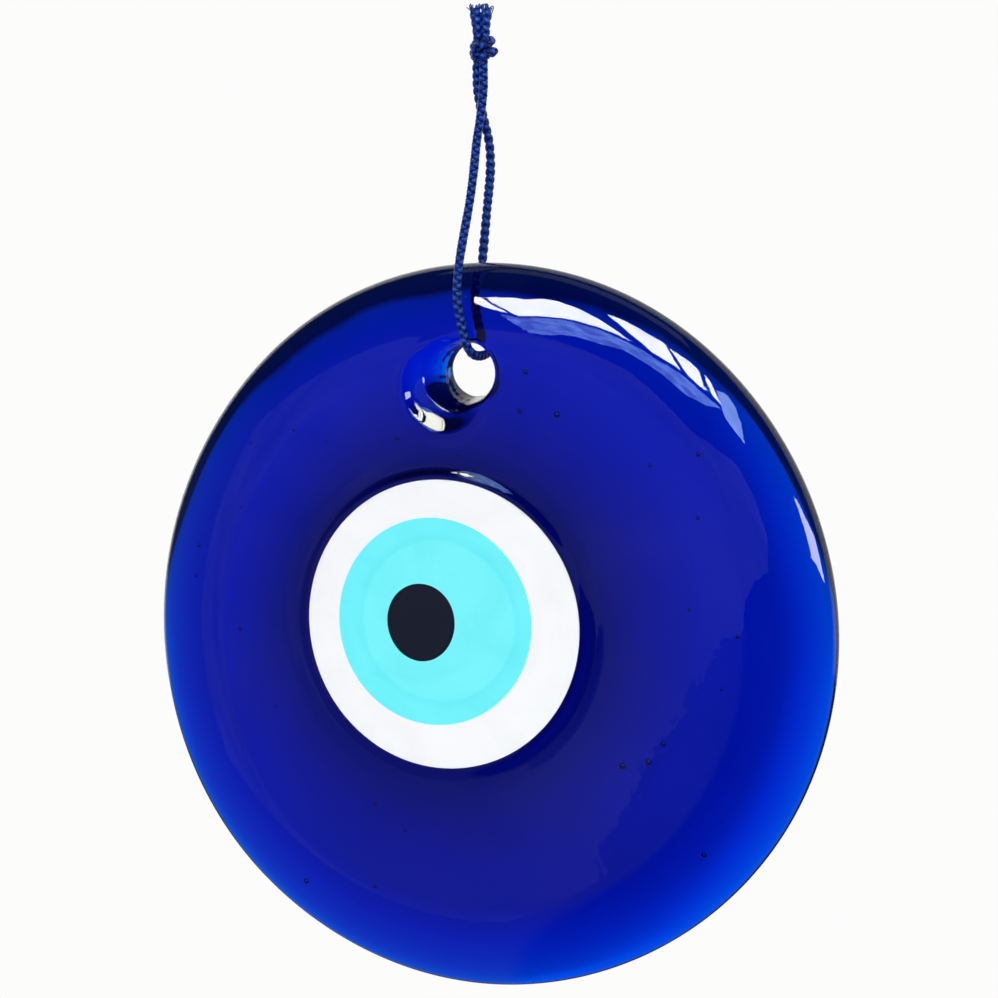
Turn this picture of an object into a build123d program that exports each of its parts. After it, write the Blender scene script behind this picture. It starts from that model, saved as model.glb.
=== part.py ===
from build123d import *
import math
import os

# Evil eye ornament: a cast blue glass disc with a pressed eye of coloured glass,
# hung on a knotted loop of braided cord.
#
# Frame: as it hangs. +Z is up along the cord, the decorated face looks along -Y,
# +X is to a viewer's right. The origin is the hang point, between the two strands
# just under the knot, in the disc's middle plane. Millimetres.

# ---------------------------------------------------------------- dimensions
# glass disc
DISC_X, DISC_Z = 1.1, -116.6      # centre of the disc
DISC_R = 76.0                     # outer radius (152 mm across)
FRONT_Y = -5.0                    # front face
BACK_Y = 5.0                      # back face
SHOULDER_START_R = 58.0           # the front is flat out to here
SHOULDER_ARC_R = 38.0             # radius of the broad front shoulder
SHOULDER_TURN = 25.0              # degrees that the shoulder slopes at its outer end

# hole near the top
HOLE_X, HOLE_Z = -2.2, -62.6      # centre of the hole
HOLE_R = 5.6                      # throat radius
FRONT_LIP_R = 2.2                 # how far the hole's front edge opens out
FRONT_LIP_DEPTH = 7.0             # how deep that opening-out runs
BACK_LIP_R = 1.6                  # rounding of the hole's back edge

# dimple pressed into the front beside the hole
DIMPLE_X, DIMPLE_Z = -6.4, -66.0
DIMPLE_R = 9.1                    # radius where it meets the front face
DIMPLE_DEPTH = 1.4

# eye drops, pressed flush with the front face
WHITE_X, WHITE_Z, WHITE_R, WHITE_DEPTH = -6.5, -115.2, 30.4, 2.8
IRIS_X, IRIS_Z, IRIS_R, IRIS_DEPTH = -8.3, -114.7, 21.8, 1.8
PUPIL_X, PUPIL_Z, PUPIL_R, PUPIL_DEPTH = -11.3, -115.0, 7.95, 1.0

# cord
CORD_D = 2.0
CORD_R = CORD_D / 2
PIVOT_X, PIVOT_Z = 0.25, -59.07   # centre of the cord where it passes through the hole
STRAND_Y = 6.3                    # depth of the strands beside the glass faces

# knot and tails
KNOT_X, KNOT_Y, KNOT_Z = 0.35, 0.0, 3.3
KNOT_HALF_R, KNOT_HALF_Z = 2.8, 3.1
TAIL_TOP_Z = 13.0

# ---------------------------------------------------------------- helpers
def revolved(profile_points_builder, cx, cz):
    """Revolve a closed XY profile (X = radius, Y = depth) about the disc's normal."""
    with BuildSketch(Plane.XY) as sk:
        with BuildLine():
            profile_points_builder()
        make_face()
    solid = revolve(sk.sketch, axis=Axis.Y, revolution_arc=360)
    return Pos(cx, 0, cz) * solid


def disc_profile():
    turn = math.radians(SHOULDER_TURN)
    half = turn / 2
    sx, sy = SHOULDER_START_R, FRONT_Y + SHOULDER_ARC_R
    end = (sx + SHOULDER_ARC_R * math.sin(turn), sy - SHOULDER_ARC_R * math.cos(turn))
    mid = (sx + SHOULDER_ARC_R * math.sin(half), sy - SHOULDER_ARC_R * math.cos(half))
    # the rim is one arc, tangent to the shoulder and to the back face
    rim_r = (BACK_Y - end[1]) / (1 + math.cos(turn))
    cx, cy = end[0] - rim_r * math.sin(turn), BACK_Y - rim_r
    scale = DISC_R / (cx + rim_r)          # 1 to within a few thousandths
    Line((0, FRONT_Y), (scale * sx, FRONT_Y))
    ThreePointArc((scale * sx, FRONT_Y), (scale * mid[0], mid[1]), (scale * end[0], end[1]))
    ThreePointArc((scale * end[0], end[1]), (scale * (cx + rim_r), cy), (scale * cx, BACK_Y))
    Line((scale * cx, BACK_Y), (0, BACK_Y))
    Line((0, BACK_Y), (0, FRONT_Y))


def drop(cx, cz, radius, depth):
    """A drop of glass pressed flush with the front: flat face, rounded buried edge."""
    edge = 0.92 * depth
    spread = 1.25 * edge

    def profile():
        Line((0, FRONT_Y), (radius, FRONT_Y))
        EllipticalCenterArc(
            (radius - spread, FRONT_Y), spread, edge, start_angle=0, arc_size=90,
        )
        Line((radius - spread, FRONT_Y + edge), (0, FRONT_Y + depth))
        Line((0, FRONT_Y + depth), (0, FRONT_Y))

    return revolved(profile, cx, cz)


def hole_cutter():
    """The hole's own shape: a long elliptical flare to the front, a throat, a round back lip."""
    f, d, b = FRONT_LIP_R, FRONT_LIP_DEPTH, BACK_LIP_R
    y0, y1 = FRONT_Y, BACK_Y

    def profile():
        Line((0, y0 - 3), (HOLE_R + f, y0 - 3))
        Line((HOLE_R + f, y0 - 3), (HOLE_R + f, y0))
        EllipticalCenterArc((HOLE_R + f, y0 + d), f, d, start_angle=180, arc_size=90)
        Line((HOLE_R, y0 + d), (HOLE_R, y1 - b))
        RadiusArc((HOLE_R, y1 - b), (HOLE_R + b, y1), b)
        Line((HOLE_R + b, y1), (HOLE_R + b, y1 + 3))
        Line((HOLE_R + b, y1 + 3), (0, y1 + 3))
        Line((0, y1 + 3), (0, y0 - 3))

    return revolved(profile, HOLE_X, HOLE_Z)


def route_path(points):
    """Straight runs joined by tangent arcs; returns the path and its radii."""
    pts = [Vector(*p) for p in points]
    radii = []
    for i in range(1, len(pts) - 1):
        a, b = pts[i] - pts[i - 1], pts[i + 1] - pts[i]
        turn = math.radians(a.get_angle(b))
        radii.append(0.45 * min(a.length, b.length) / math.tan(turn / 2))
    path = FilletPolyline(*pts, radius=radii) if len(radii) > 1 else \
        FilletPolyline(*pts, radius=radii[0])
    return path, radii


def cord_tube(name, points):
    path, radii = route_path(points)
    wire = path if isinstance(path, Wire) else Wire(path.edges())
    start = wire.position_at(0)
    tangent = wire.tangent_at(0)
    section = Plane(origin=start, z_dir=tangent) * Circle(CORD_R)
    tube = sweep(section, path=wire)
    want = math.pi * CORD_R ** 2 * wire.length
    print(f"{name}: length {wire.length:.1f} mm, volume {tube.volume:.1f} "
          f"against section x length {want:.1f}")
    print("  radii:", ", ".join(f"{r:.1f}" for r in radii))
    return tube


# ---------------------------------------------------------------- glass
disc = revolved(disc_profile, DISC_X, DISC_Z)
dimple_sphere_r = (DIMPLE_R ** 2 + DIMPLE_DEPTH ** 2) / (2 * DIMPLE_DEPTH)
dimple = Pos(DIMPLE_X, FRONT_Y + DIMPLE_DEPTH - dimple_sphere_r, DIMPLE_Z) * \
    Sphere(dimple_sphere_r)

white_full = drop(WHITE_X, WHITE_Z, WHITE_R, WHITE_DEPTH)
iris_full = drop(IRIS_X, IRIS_Z, IRIS_R, IRIS_DEPTH)
pupil = drop(PUPIL_X, PUPIL_Z, PUPIL_R, PUPIL_DEPTH)

glass = disc - white_full - hole_cutter() - dimple
white = white_full - iris_full
iris = iris_full - pupil

# ---------------------------------------------------------------- cord
# One cord: down the front, through the hole, up the back, into the knot.
LOOP_ROUTE = [
    (0.74, -0.47, 0.90),
    (0.78, -0.56, -4.40),
    (0.42, -1.05, -9.40),
    (-0.22, -1.95, -15.00),
    (-0.42, -2.95, -21.20),
    (-0.95, -4.05, -28.00),
    (-1.90, -5.20, -34.80),
    (-2.65, -6.15, -41.30),
    (-2.85, -STRAND_Y - 0.08, -47.30),
    (-1.75, -STRAND_Y - 0.02, -53.10),
    (PIVOT_X, -STRAND_Y, PIVOT_Z),
    (PIVOT_X, STRAND_Y, PIVOT_Z),
    (-2.05, STRAND_Y + 0.03, -53.20),
    (-3.00, STRAND_Y + 0.12, -47.10),
    (-2.40, 6.48, -40.90),
    (-1.45, 5.62, -34.40),
    (-0.25, 4.30, -27.60),
    (1.00, 2.98, -20.80),
    (1.08, 1.97, -14.90),
    (-0.25, 1.15, -9.60),
    (-1.12, 0.56, -4.50),
    (-1.14, 0.47, 0.90),
]
TAIL_A_ROUTE = [(-1.10, -0.30, 5.60), (-1.22, -0.36, 9.20), (-1.52, -0.34, TAIL_TOP_Z)]
TAIL_B_ROUTE = [(1.05, 0.20, 5.60), (0.98, 0.26, 9.10), (1.22, 0.36, TAIL_TOP_Z - 0.2)]

loop = cord_tube("cord_loop", LOOP_ROUTE)
tail_a = cord_tube("cord_tail_a", TAIL_A_ROUTE)
tail_b = cord_tube("cord_tail_b", TAIL_B_ROUTE)

# The overhand knot of both strands, as its closed outer shape.
with BuildSketch(Plane.XZ) as knot_sk:
    with BuildLine():
        Line((0, -KNOT_HALF_Z), (0, KNOT_HALF_Z))
        Spline(
            (0, KNOT_HALF_Z), (0.62 * KNOT_HALF_R, 0.86 * KNOT_HALF_Z),
            (KNOT_HALF_R, 0), (0.62 * KNOT_HALF_R, -0.86 * KNOT_HALF_Z),
            (0, -KNOT_HALF_Z),
            tangents=[(1, 0), (-1, 0)],
        )
    make_face()
knot = revolve(knot_sk.sketch, axis=Axis.Z, revolution_arc=360)
knot = Pos(KNOT_X, KNOT_Y, KNOT_Z) * knot

# ---------------------------------------------------------------- output
os.makedirs("parts", exist_ok=True)


def one(shape):
    solids = shape.solids()
    return solids[0] if len(solids) == 1 else shape


for node, shape in [
    ("glass_body", glass),
    ("eye_white_drop", white),
    ("eye_iris_drop", iris),
    ("eye_pupil_drop", pupil),
    ("cord_loop", loop),
    ("cord_knot", knot),
    ("cord_tail_a", tail_a),
    ("cord_tail_b", tail_b),
]:
    export_step(one(shape), f"parts/{node}.step")
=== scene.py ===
import math

import bmesh
import bpy
import numpy as np
from mathutils import Matrix, Vector
from mathutils.geometry import delaunay_2d_cdt


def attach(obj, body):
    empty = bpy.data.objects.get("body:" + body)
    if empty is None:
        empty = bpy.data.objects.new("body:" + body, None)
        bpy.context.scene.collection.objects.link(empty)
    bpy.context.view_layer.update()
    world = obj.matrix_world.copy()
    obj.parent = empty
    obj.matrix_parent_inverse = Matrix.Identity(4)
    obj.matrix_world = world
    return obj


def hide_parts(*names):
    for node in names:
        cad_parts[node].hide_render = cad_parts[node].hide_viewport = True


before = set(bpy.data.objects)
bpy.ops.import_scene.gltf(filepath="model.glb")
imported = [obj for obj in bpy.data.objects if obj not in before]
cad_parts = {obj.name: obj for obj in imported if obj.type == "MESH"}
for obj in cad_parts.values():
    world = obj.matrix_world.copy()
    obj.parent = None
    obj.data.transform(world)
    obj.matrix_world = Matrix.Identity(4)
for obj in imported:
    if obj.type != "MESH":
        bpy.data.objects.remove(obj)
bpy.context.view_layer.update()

MM = 0.001
scene = bpy.context.scene


# =============================================================== camera
# The lens looks from the right of and a little above the disc's own normal.
AZ, EL = math.radians(21.68), math.radians(7.07)
RIGHT = Vector((math.cos(AZ), math.sin(AZ), 0))
BACK = Vector((math.sin(AZ) * math.cos(EL), -math.cos(AZ) * math.cos(EL), math.sin(EL)))
UP = BACK.cross(RIGHT)
cam_data = bpy.data.cameras.new("camera")
cam_data.lens, cam_data.sensor_width, cam_data.sensor_height = 135, 36, 36
cam_data.clip_start, cam_data.clip_end = 0.02, 50
camera = bpy.data.objects.new("camera", cam_data)
scene.collection.objects.link(camera)
turn = Matrix((RIGHT, UP, BACK)).transposed().to_4x4()
camera.matrix_world = Matrix.Translation((0.28867, -0.71615, 0.00654)) @ turn
scene.camera = camera


# =============================================================== small helpers
def make_object(name, verts_mm, faces, smooth=True, sharp=None):
    """A mesh object from points in mm. faces is a list, or an array of quads or triangles."""
    mesh = bpy.data.meshes.new(name)
    verts = (np.asarray(verts_mm, float) * MM).tolist()
    faces = faces.tolist() if isinstance(faces, np.ndarray) else faces
    mesh.from_pydata(verts, [], faces)
    mesh.update()
    if smooth:
        mesh.polygons.foreach_set("use_smooth", [True] * len(mesh.polygons))
    if sharp is not None:
        mesh.set_sharp_from_angle(angle=math.radians(sharp))
    ob = bpy.data.objects.new(name, mesh)
    scene.collection.objects.link(ob)
    return ob


def smoothstep(t):
    t = np.clip(t, 0, 1)
    return t * t * (3 - 2 * t)


def grid_quads(n_rows, n_cols, start=0, closed=True, flip=False):
    """Quads between rows of points, each row being a closed ring unless closed is False."""
    i = np.arange(n_rows - 1)[:, None]
    j = np.arange(n_cols if closed else n_cols - 1)[None, :]
    k = (j + 1) % n_cols
    a, b = start + i * n_cols + j, start + i * n_cols + k
    c, d = start + (i + 1) * n_cols + k, start + (i + 1) * n_cols + j
    quads = np.stack([a, b, c, d], -1).reshape(-1, 4)
    return quads[:, ::-1] if flip else quads


class Builder:
    """Collects points and faces of one mesh."""

    def __init__(self):
        self.verts, self.faces, self.count = [], [], 0

    def points(self, pts):
        pts = np.asarray(pts, float).reshape(-1, 3)
        first = self.count
        self.verts.append(pts)
        self.count += len(pts)
        return first

    def add(self, faces):
        self.faces += [tuple(int(x) for x in f) for f in faces]

    def all_verts(self):
        return np.concatenate(self.verts)

    def face_outwards(self):
        """Turns every face of the closed shell so far to look out of its solid."""
        bm = bmesh.new()
        points = [bm.verts.new(p) for p in self.all_verts().tolist()]
        for f in self.faces:
            bm.faces.new([points[i] for i in f])
        bm.verts.index_update()
        bmesh.ops.recalc_face_normals(bm, faces=bm.faces)
        if bm.calc_volume(signed=True) < 0:
            bmesh.ops.reverse_faces(bm, faces=bm.faces)
        self.faces = [tuple(v.index for v in f.verts) for f in bm.faces]
        bm.free()


# =============================================================== the cord
# The same route as the CAD cord, in mm, and through its knot to both tails.
FRONT_STRAND = [
    (0.74, -0.47, 0.90), (0.78, -0.56, -4.40), (0.42, -1.05, -9.40), (-0.22, -1.95, -15.00),
    (-0.42, -2.95, -21.20), (-0.95, -4.05, -28.00), (-1.90, -5.20, -34.80),
    (-2.65, -6.15, -41.30), (-2.85, -6.38, -47.30), (-1.75, -6.32, -53.10),
    (0.25, -6.55, -59.30),
]
BACK_STRAND = [
    (0.25, 6.60, -59.30), (-2.05, 6.33, -53.20), (-3.00, 6.42, -47.10), (-2.40, 6.48, -40.90),
    (-1.45, 5.62, -34.40), (-0.25, 4.30, -27.60), (1.00, 2.98, -20.80), (1.08, 1.97, -14.90),
    (-0.25, 1.15, -9.60), (-1.12, 0.56, -4.50), (-1.14, 0.47, 0.90),
]
KNOT_AT = (0.35, 0.0, 3.3)
TAIL_A = [(-0.70, -0.30, 6.3), (-0.80, -0.36, 8.6), (-1.16, -0.34, 11.6)]
TAIL_B = [(0.88, 0.20, 6.3), (0.80, 0.26, 8.6), (1.06, 0.36, 11.4)]
# inside the knot, about its middle: right, towards the front, up
KNOT_FRONT = [
    (0.25, 0.35, -1.7), (0.35, -0.20, -0.1), (0.15, -0.95, 1.4), (-0.85, -1.35, 1.8),
    (-1.75, -0.60, 1.05), (-1.80, 0.75, 0.40), (-0.75, 1.75, 0.95), (0.75, 1.70, 1.75),
    (1.75, 0.60, 2.15), (1.75, -0.90, 1.90), (0.70, -1.65, 1.1), (-0.40, -1.15, 0.5),
    (-0.75, -0.30, 0.8), (-0.95, 0.05, 2.0),
]
KNOT_BACK = [
    (-0.90, -0.70, -1.7), (-0.50, -0.70, -0.4), (-0.85, -1.15, 0.4), (-1.65, -0.95, -0.1),
    (-1.85, 0.15, -1.0), (-1.15, 1.30, -1.40), (0.15, 1.85, -0.95), (1.55, 1.40, -0.25),
    (2.45, 0.10, -0.05), (1.95, -1.15, -0.40), (0.65, -1.45, -1.0), (0.40, -0.40, -0.9),
    (0.70, 0.35, 0.4), (0.75, 0.30, 1.9),
]


def knot_point(p):
    u, w, z = p
    a = AZ
    x = u * math.cos(a) + w * math.sin(a)
    y = u * math.sin(a) - w * math.cos(a)
    return (KNOT_AT[0] + x, KNOT_AT[1] + y, KNOT_AT[2] + z)


ROUTE = (
    list(reversed(TAIL_A))
    + [knot_point(p) for p in reversed(KNOT_FRONT)]
    + FRONT_STRAND + BACK_STRAND
    + [knot_point(p) for p in KNOT_BACK]
    + TAIL_B
)


def nurbs_points(points_mm, resolution=24):
    """Points read from the route's smooth NURBS spline, in mm."""
    curve = bpy.data.curves.new("route", "CURVE")
    curve.dimensions = "3D"
    spline = curve.splines.new("NURBS")
    spline.points.add(len(points_mm) - 1)
    for p, co in zip(spline.points, points_mm):
        p.co = (co[0] * MM, co[1] * MM, co[2] * MM, 1)
    spline.order_u = 3
    spline.use_endpoint_u = True
    spline.resolution_u = resolution
    ob = bpy.data.objects.new("route", curve)
    scene.collection.objects.link(ob)
    bpy.context.view_layer.update()
    mesh = bpy.data.meshes.new_from_object(ob)
    pts = np.array([tuple(v.co) for v in mesh.vertices]) / MM
    bpy.data.objects.remove(ob)
    bpy.data.curves.remove(curve)
    bpy.data.meshes.remove(mesh)
    return pts


def resample(pts, step):
    seg = np.linalg.norm(np.diff(pts, axis=0), axis=1)
    s = np.concatenate([[0], np.cumsum(seg)])
    n = max(int(round(s[-1] / step)), 2) + 1
    at = np.linspace(0, s[-1], n)
    return np.stack([np.interp(at, s, pts[:, i]) for i in range(3)], 1), at


def frames(pts):
    """Tangents and a twist-free pair of normals along a path."""
    tan = np.gradient(pts, axis=0)
    tan /= np.linalg.norm(tan, axis=1)[:, None]
    nrm = np.zeros_like(pts)
    first = np.cross(tan[0], (0, 1, 0))
    nrm[0] = first / np.linalg.norm(first)
    for i in range(1, len(pts)):
        v = nrm[i - 1] - tan[i] * (nrm[i - 1] @ tan[i])
        nrm[i] = v / np.linalg.norm(v)
    return tan, nrm, np.cross(tan, nrm)


route_pts = nurbs_points(ROUTE)
STEP = 0.15
path, along = resample(route_pts, STEP)
for _ in range(2):                                # the path stays smooth where runs meet
    path[1:-1] = path[1:-1] * 0.5 + (path[:-2] + path[2:]) * 0.25
seg = np.linalg.norm(np.diff(path, axis=0), axis=1)
along = np.concatenate([[0], np.cumsum(seg)])


def cord_mesh():
    """A four-carrier round plait of thick yarns over a core, all on one path."""
    tan, n1, n2 = frames(path)
    b = Builder()
    uv_u, uv_v, shade, painted_light_mask = [], [], [], []
    total = along[-1]
    pitch = 3.35                                   # one full turn of a carrier
    # pulled tight in the knot, a little swollen at the cut ends
    knot_d = np.minimum(np.linalg.norm(path - np.array(KNOT_AT), axis=1), 9)
    tight = 1 - 0.03 * (1 - smoothstep((knot_d - 2.4) / 1.4))
    end_d = np.minimum(along, total - along)
    swell = 1 + 0.22 * (1 - smoothstep(end_d / 4.5))
    # hand-pulled cord is never quite even
    size = tight * swell * (1 + 0.025 * np.sin(along * 0.43 + 1) + 0.015 * np.sin(along * 1.13))
    turn = 2 * np.pi * (along + 0.25 * np.sin(along * 0.29)) / pitch
    m = 10                                         # points round one yarn
    ang = np.arange(m) * 2 * np.pi / m
    for c in range(4):
        way = 1 if c < 2 else -1
        theta = way * turn + (c % 2) * np.pi + (np.pi / 2 if way < 0 else 0)
        # over the crossing yarns in one column, under them in the next
        weave = way * np.sin(2 * theta)
        rho = (0.605 + 0.105 * weave) * size
        radial = np.cos(theta)[:, None] * n1 + np.sin(theta)[:, None] * n2
        centre = path + rho[:, None] * radial
        ydir = np.gradient(centre, axis=0)
        ydir /= np.linalg.norm(ydir, axis=1)[:, None]
        side = np.cross(ydir, radial)
        side /= np.linalg.norm(side, axis=1)[:, None]
        out = np.cross(side, ydir)
        half_w = (0.56 + 0.05 * weave) * size
        half_t = (0.27 + 0.04 * weave) * size
        rows = []
        for q in ang:
            cw, sw = math.cos(q), math.sin(q)
            rows.append(centre + side * (cw * half_w)[:, None] + out * (sw * half_t)[:, None])
        pts = np.stack(rows, 1)                    # ring by ring
        first = b.points(pts.reshape(-1, 3))
        b.add(grid_quads(len(path), m, first, flip=True))
        uv_u.append(np.repeat(along, m))
        uv_v.append(np.tile(ang / (2 * np.pi), len(path)))
        shade.append(np.full(len(path) * m, c / 3.0))
        # painted light: the mask is highest on the outer side of each yarn where it passes over a crossing yarn, and
        # zero on its inner side; the cord's material paints a glint on the highest parts and shade on the lowest
        up = np.clip(np.sin(ang), 0, 1)[None, :] * (0.28 + 0.36 * (1 + weave))[:, None]
        painted_light_mask.append(up.reshape(-1))
        b.add([tuple(first + np.arange(m))])
        b.add([tuple(first + (len(path) - 1) * m + np.arange(m))[::-1]])
    core_n = 10
    ca = np.arange(core_n) * 2 * np.pi / core_n
    r = (0.44 * size)[:, None, None]
    ring = (np.cos(ca)[None, :, None] * n1[:, None, :] + np.sin(ca)[None, :, None] * n2[:, None, :]) * r + path[:, None, :]
    first = b.points(ring.reshape(-1, 3))
    b.add(grid_quads(len(path), core_n, first))
    b.add([tuple(first + np.arange(core_n))[::-1]])
    b.add([tuple(first + (len(path) - 1) * core_n + np.arange(core_n))])
    uv_u.append(np.repeat(along, core_n))
    uv_v.append(np.tile(ca / (2 * np.pi), len(path)))
    shade.append(np.full(len(path) * core_n, 0.5))
    painted_light_mask.append(np.zeros(len(path) * core_n))
    return b, *(np.concatenate(v) for v in (uv_u, uv_v, shade, painted_light_mask))


cord_b, cu, cv, cs, cl = cord_mesh()
cord = make_object("cord_braid", cord_b.all_verts(), cord_b.faces)
print("cord", len(cord.data.vertices), "points", len(cord.data.polygons), "faces")
for name, values in (("along", cu), ("round", cv), ("carrier", cs), ("painted_light_mask", cl)):
    attribute = cord.data.attributes.new(name, "FLOAT", "POINT")
    attribute.data.foreach_set("value", np.asarray(values, np.float32))


def fray_mesh():
    """The loose yarn at both cut ends: short bent yarns, some looped back on themselves."""
    b = Builder()
    rng = np.random.default_rng(23)
    tan, n1, n2 = frames(path)
    vals = []
    for end in (0, len(path) - 1):
        out_dir = -tan[0] if end == 0 else tan[-1]
        base, a1, a2 = path[end], n1[end], n2[end]
        for i in range(17):
            th = rng.uniform(0, 2 * np.pi)
            r0 = math.sqrt(rng.uniform(0.05, 1.0)) * 0.92
            start = base + (math.cos(th) * a1 + math.sin(th) * a2) * r0 - out_dir * 0.7
            lean = (math.cos(th) * a1 + math.sin(th) * a2) * rng.uniform(0.1, 0.9) * r0
            tall = rng.uniform(0.55, 1.35)
            loop = rng.uniform() < 0.5
            if loop:
                sidew = np.cross(out_dir, lean / (np.linalg.norm(lean) + 1e-9))
                back = sidew * rng.uniform(0.35, 0.8) * rng.choice([-1, 1])
                ctrl = [start, start + out_dir * 0.8, start + out_dir * (0.75 + tall) + lean,
                        start + out_dir * (0.8 + tall) + lean + back, start + out_dir * 0.9 + back * 1.3,
                        start + back * 0.8]
            else:
                curl = (rng.normal(0, 0.25) * a1 + rng.normal(0, 0.25) * a2)
                ctrl = [start, start + out_dir * 0.8 + lean * 0.2, start + out_dir * (0.6 + tall * 0.6) + lean * 0.8 + curl,
                        start + out_dir * (0.5 + tall) + lean * 1.4 - curl]
            pts = nurbs_points([tuple(p) for p in ctrl], 6)
            t_, u_, v_ = frames(pts)
            rad = rng.uniform(0.11, 0.16)
            m = 6
            q = np.arange(m) * 2 * np.pi / m
            taper = np.linspace(1, 0.8, len(pts))[:, None, None]
            ring = (np.cos(q)[None, :, None] * u_[:, None, :] + np.sin(q)[None, :, None] * v_[:, None, :]) * rad * taper + pts[:, None, :]
            first = b.points(ring.reshape(-1, 3))
            b.add(grid_quads(len(pts), m, first))
            b.add([tuple(first + np.arange(m))[::-1]])
            b.add([tuple(first + (len(pts) - 1) * m + np.arange(m))])
            vals.append(np.full(len(pts) * m, rng.uniform()))
    return b, np.concatenate(vals)


fray_b, fv = fray_mesh()
fray = make_object("cord_frayed_ends", fray_b.all_verts(), fray_b.faces)
attribute = fray.data.attributes.new("carrier", "FLOAT", "POINT")
attribute.data.foreach_set("value", fv.astype(np.float32))


# =============================================================== the disc's shape
# The same dimensions as the CAD, in mm, with the small unevenness of hand-made glass.
DISC_X, DISC_Z, DISC_R = 1.1, -116.6, 76.0
FRONT_Y, BACK_Y = -5.0, 5.0
HOLE_X, HOLE_Z, HOLE_R = -2.2, -62.6, 5.6
FRONT_LIP, FRONT_LIP_DEPTH, BACK_LIP = 2.2, 7.0, 1.6
DIMPLE_X, DIMPLE_Z, DIMPLE_R, DIMPLE_D = -6.5, -66.1, 9.2, 1.3
WHITE = (-6.5, -115.2, 30.4, 2.8)
IRIS = (-8.3, -114.7, 21.8, 1.8)
PUPIL = (-11.3, -115.0, 7.95, 1.0)
SHOULDER_R0, SHOULDER_ARC = 58.0, 38.0
SHOULDER_TURN = math.radians(25)


def outline(phi):
    """The outer radius: a circle, slightly egg-shaped."""
    return (
        DISC_R
        - 0.28 * np.cos(2 * phi) + 0.78 * np.sin(2 * phi)
        + 0.12 * np.cos(3 * phi) - 0.26 * np.sin(3 * phi)
        + 0.05 * np.cos(5 * phi + 1.1) + 0.035 * np.sin(7 * phi)
    )


def to_nominal(x, z):
    """Radius of the same point on the perfectly round disc."""
    dx, dz = x - DISC_X, z - DISC_Z
    r = np.hypot(dx, dz)
    return r * DISC_R / outline(np.arctan2(dz, dx))


# (height in mm, and the wave's turn per mm along x and z, and its phase)
WAVES_FRONT = [
    (0.022, 0.080, 0.050, 0.4), (0.018, -0.055, 0.085, 1.9), (0.0035, 0.190, 0.090, 3.3),
    (0.0025, -0.130, 0.190, 5.1), (0.0006, 0.40, -0.30, 2.2), (0.0004, 0.52, 0.41, 0.9),
]
WAVES_BACK = [
    (0.060, 0.110, -0.090, 1.2), (0.055, 0.060, 0.170, 4.0), (0.024, -0.280, 0.140, 0.3),
    (0.016, 0.230, 0.310, 2.7), (0.008, -0.44, 0.21, 1.5), (0.005, 0.51, 0.42, 4.4),
]


def waves(x, z, table):
    total = np.zeros_like(x)
    for amp, kx, kz, ph in table:
        total = total + amp * np.sin(kx * x + kz * z + ph)
    return total


def front_y(x, z):
    """Depth of the front surface over the disc's inner part."""
    x, z = np.asarray(x, float), np.asarray(z, float)
    rn = to_nominal(x, z)
    over = np.clip(rn - SHOULDER_R0, 0, SHOULDER_ARC * math.sin(SHOULDER_TURN))
    y = FRONT_Y + SHOULDER_ARC - np.sqrt(SHOULDER_ARC ** 2 - over ** 2)
    # the face is crowned a little towards the shoulder
    y = y + 0.30 * smoothstep((rn - 26) / 48) - 0.06
    y = y + waves(x, z, WAVES_FRONT) * (1 - 0.6 * smoothstep((rn - 50) / 20))
    # the pressed drops stand a little proud, with a soft slope round them
    rw = np.hypot(x - WHITE[0], z - WHITE[1]) - WHITE[2]
    y = y - 0.52 * (1 - smoothstep((rw - 0.25) / 2.7)) - 0.10 * (1 - smoothstep((rw - 2.4) / 4.0))
    # the dimple beside the hole
    rd = np.hypot(x - DIMPLE_X, z - DIMPLE_Z)
    t = np.clip(rd / DIMPLE_R, 0, 1.6)
    # a steep wall to the left and a gentler one below, round a nearly level floor
    left = np.clip(-(x - DIMPLE_X) / np.maximum(rd, 0.3), 0, 1)
    wall = (0.345 + 0.38 * left ** 3) * (DIMPLE_R - rd)
    floor_d = DIMPLE_D + 0.10 * (1 - t ** 2)
    dip = 0.5 * (wall + floor_d - np.sqrt((wall - floor_d) ** 2 + 0.26))
    k = 0.07                                    # softness of the dimple's edge
    dip = 0.5 * (dip + np.sqrt(dip ** 2 + 4 * k ** 2))
    dip = dip * (1 - smoothstep((rd - DIMPLE_R - 0.4) / 2.6))
    # a low lip of displaced glass round the dimple
    dip = dip - 0.07 * np.exp(-((rd - DIMPLE_R - 1.1) / 0.9) ** 2)
    return y + dip


def back_y(x, z):
    x, z = np.asarray(x, float), np.asarray(z, float)
    return BACK_Y - 0.03 + waves(x, z, WAVES_BACK) * 0.8


def ring_xz(cx, cz, r, n, phase=0.0):
    t = np.arange(n) * 2 * np.pi / n + phase
    return cx + r * np.cos(t), cz + r * np.sin(t), t


def white_edge(t):
    return WHITE[2] + 0.05 * np.sin(2 * t + 0.9) + 0.04 * np.cos(3 * t)


def iris_edge(t):
    return IRIS[2] + 0.09 * np.sin(2 * t - 0.8) + 0.05 * np.cos(3 * t + 0.4)


def pupil_edge(t):
    return PUPIL[2] - 0.28 * np.cos(2 * t) + 0.04 * np.sin(3 * t)


def edge_ring(drop, edge, n, inset=0.0):
    t = np.arange(n) * 2 * np.pi / n
    r = edge(t) - inset
    return drop[0] + r * np.cos(t), drop[1] + r * np.sin(t)


# =============================================================== the glass body
N_RIM, N_HOLE, N_DROP = 480, 176, 420
FACE_R, BACK_FACE_R = 65.0, 69.0


def disc_point(rn, phi):
    """x, z of a point at nominal radius rn."""
    r = rn * outline(phi) / DISC_R
    return DISC_X + r * np.cos(phi), DISC_Z + r * np.sin(phi)


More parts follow.
